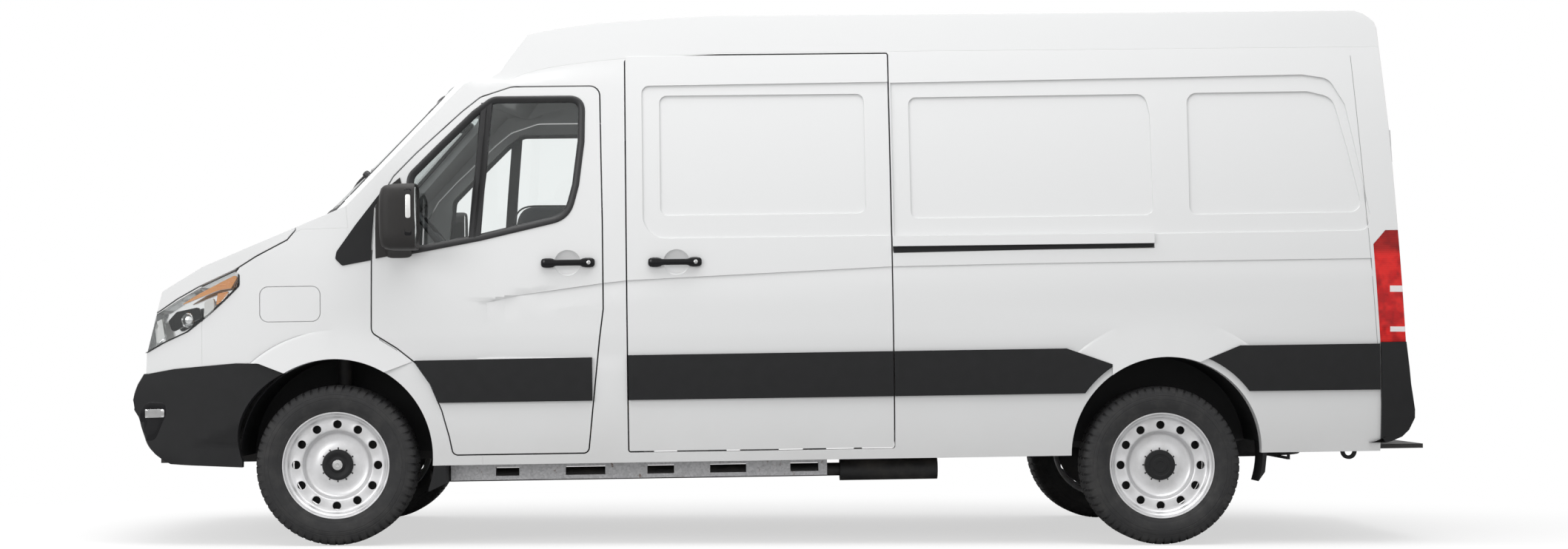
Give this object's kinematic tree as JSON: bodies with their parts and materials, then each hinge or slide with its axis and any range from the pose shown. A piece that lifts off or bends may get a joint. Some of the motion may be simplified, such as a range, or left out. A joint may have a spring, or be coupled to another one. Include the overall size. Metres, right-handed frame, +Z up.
{
  "type": "panel van",
  "caption": "Panel van with hinged front and rear doors, fixed side doors, lifting bonnet, turning road wheels and linked steering.",
  "frame": {"origin": "ground level, midway along the overall length, on the centreline", "axes": "+X toward the rear, +Y toward the right side of the van, +Z up"},
  "size_m": [5.9196, 2.426, 2.4676],
  "materials": {
    "white_paint": "satin",
    "black_plastic": "grained",
    "dark_metal": "satin",
    "grey_metal": "rough",
    "silver_paint": "satin",
    "rubber_tyre": "matte",
    "clear_glass": "clear",
    "lamp_lens": "clear",
    "red_lens": "gloss",
    "seat_fabric": "woven",
    "cabin_plastic": "grained",
    "floor_board": "sealed",
    "engine_metal": "rough"
  },
  "bodies": {
    "body": {"body_side_left": "white_paint", "body_side_right": "white_paint", "cowl": "black_plastic", "dashboard": "cabin_plastic", "engine": "engine_metal", "exhaust": "dark_metal", "filler_cap": "black_plastic", "firewall": "black_plastic", "floor": "floor_board", "frame": "dark_metal", "front_bumper": "black_plastic", "front_panel": "white_paint", "front_suspension": "grey_metal", "grille": "black_plastic", "headlamps": "lamp_lens", "leaf_springs": "dark_metal", "mud_flaps": "black_plastic", "rear_axle": "grey_metal", "rear_bumper": "black_plastic", "rear_step": "dark_metal", "roof": "white_paint", "sail_panels": "black_plastic", "seat_bases": "cabin_plastic", "seats": "seat_fabric", "side_trim": "black_plastic", "sill_rails": "grey_metal", "slide_rails": "white_paint", "sliding_doors": "white_paint", "spare_wheel": "black_plastic", "tail_lamps": "red_lens", "wheel_houses": "black_plastic", "windscreen": "clear_glass", "wing_left": "white_paint", "wing_right": "white_paint"},
    "front_door_left": {"door_glass_left": "clear_glass", "door_trim_left": "black_plastic", "front_door_left": "white_paint"},
    "front_door_right": {"door_glass_right": "clear_glass", "door_trim_right": "black_plastic", "front_door_right": "white_paint"},
    "filler_flap": {"filler_flap": "white_paint"},
    "hood": {"hood": "white_paint"},
    "knuckle_left": {"knuckle_left": "grey_metal"},
    "knuckle_right": {"knuckle_right": "grey_metal"},
    "rear_door_left": {"rear_door_left": "white_paint"},
    "rear_door_right": {"rear_door_right": "white_paint"},
    "wheel_front_left": {"rim_front_left": "silver_paint", "tyre_front_left": "rubber_tyre"},
    "wheel_front_right": {"rim_front_right": "silver_paint", "tyre_front_right": "rubber_tyre"},
    "wheel_rear_left": {"rim_rear_left": "silver_paint", "tyre_rear_left": "rubber_tyre"},
    "wheel_rear_right": {"rim_rear_right": "silver_paint", "tyre_rear_right": "rubber_tyre"},
    "steering_wheel": {"steering_wheel": "cabin_plastic"}
  },
  "joints": [
    {"name": "steer_left", "type": "hinge", "parent": "body", "child": "knuckle_left", "pos_m": [-1.95165, -0.76, 0.353], "axis": [-0.0157, 0, 0.9999], "range_deg": [-36, 36]},
    {"name": "spin_front_left", "type": "hinge", "parent": "knuckle_left", "child": "wheel_front_left", "pos_m": [-1.95165, -0.855, 0.353], "axis": [0, 1, 0], "continuous": true},
    {"name": "spin_rear_left", "type": "hinge", "parent": "body", "child": "wheel_rear_left", "pos_m": [1.71334, -0.858, 0.353], "axis": [0, 1, 0], "continuous": true},
    {"name": "front_door_left_hinge", "type": "hinge", "parent": "body", "child": "front_door_left", "pos_m": [-1.7153, -0.96501, 1.1038], "axis": [0.0157, -0.0401, -0.9991], "range_deg": [0, 57]},
    {"name": "rear_door_left_hinge", "type": "hinge", "parent": "body", "child": "rear_door_left", "pos_m": [2.79826, -0.815, 1.49469], "axis": [0.061, 0, -0.9981], "range_deg": [0, 180]},
    {"name": "steer_right", "type": "hinge", "parent": "body", "child": "knuckle_right", "pos_m": [-1.95165, 0.76, 0.353], "axis": [-0.0157, 0, 0.9999], "range_deg": [-36, 36]},
    {"name": "spin_front_right", "type": "hinge", "parent": "knuckle_right", "child": "wheel_front_right", "pos_m": [-1.95165, 0.855, 0.353], "axis": [0, 1, 0], "continuous": true},
    {"name": "spin_rear_right", "type": "hinge", "parent": "body", "child": "wheel_rear_right", "pos_m": [1.71334, 0.858, 0.353], "axis": [0, 1, 0], "continuous": true},
    {"name": "front_door_right_hinge", "type": "hinge", "parent": "body", "child": "front_door_right", "pos_m": [-1.7153, 0.96501, 1.1038], "axis": [-0.0157, -0.0401, 0.9991], "range_deg": [0, 57]},
    {"name": "rear_door_right_hinge", "type": "hinge", "parent": "body", "child": "rear_door_right", "pos_m": [2.79826, 0.815, 1.49469], "axis": [-0.061, 0, 0.9981], "range_deg": [0, 180]},
    {"name": "hood_hinge", "type": "hinge", "parent": "body", "child": "hood", "pos_m": [-2.11846, 0, 1.42151], "axis": [0, 1, 0], "range_deg": [0, 55]},
    {"name": "filler_flap_hinge", "type": "hinge", "parent": "body", "child": "filler_flap", "pos_m": [-2.28512, -0.975, 1.06138], "axis": [0.0157, 0, -0.9999], "range_deg": [0, 85]},
    {"name": "steering_wheel_turn", "type": "hinge", "parent": "body", "child": "steering_wheel", "pos_m": [-1.54152, -0.46342, 1.3472], "axis": [0.7782, 0, 0.628], "range_deg": [-504, 504]}
  ],
  "couplings": [
    {"joint": "steer_right", "follows": "steer_left", "ratio": 1},
    {"joint": "steering_wheel_turn", "follows": "steer_left", "ratio": 14}
  ]
}
